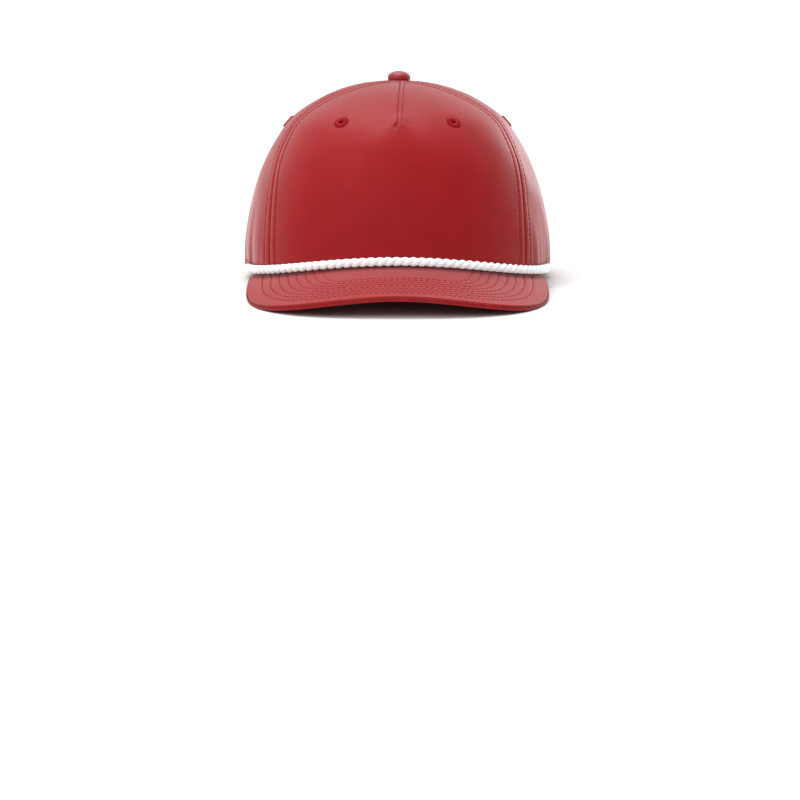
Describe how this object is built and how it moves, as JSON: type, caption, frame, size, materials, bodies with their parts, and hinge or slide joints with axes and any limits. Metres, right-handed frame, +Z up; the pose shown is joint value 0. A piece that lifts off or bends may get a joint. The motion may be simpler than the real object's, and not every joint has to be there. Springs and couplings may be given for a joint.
{
  "type": "snapback cap",
  "caption": "Structured snapback cap with a sewn panel crown, a gently arched visor edged by a twisted rope, and an adjustable snap strap at the back.",
  "frame": {"origin": "on the table, under the middle of the cap's bounding box", "axes": "+Z up, the visor points along -Y, +X is to the right seen from the front"},
  "size_m": [0.1772, 0.2686, 0.1188],
  "materials": {
    "crown_cloth": "smooth twill with a soft sheen",
    "visor_cloth": "smooth twill with rows of stitching",
    "rope_cotton": "white twisted cotton",
    "eyelet_thread": "satin embroidery thread",
    "sweatband_cloth": "matt cotton twill",
    "strap_plastic": "satin moulded plastic"
  },
  "bodies": {
    "root": {"front_panel": "crown_cloth", "side_panel_left": "crown_cloth", "side_panel_right": "crown_cloth", "back_panel_left": "crown_cloth", "back_panel_right": "crown_cloth", "top_button": "crown_cloth", "visor_upper": "visor_cloth", "visor_lower": "visor_cloth", "visor_rope": "rope_cotton", "sweatband": "sweatband_cloth", "snap_strap_holes": "strap_plastic", "snap_strap_pegs": "strap_plastic", "eyelet_front_left": "eyelet_thread", "eyelet_front_right": "eyelet_thread", "eyelet_side_left": "eyelet_thread", "eyelet_side_right": "eyelet_thread", "eyelet_back_left": "eyelet_thread", "eyelet_back_right": "eyelet_thread"}
  },
  "joints": []
}
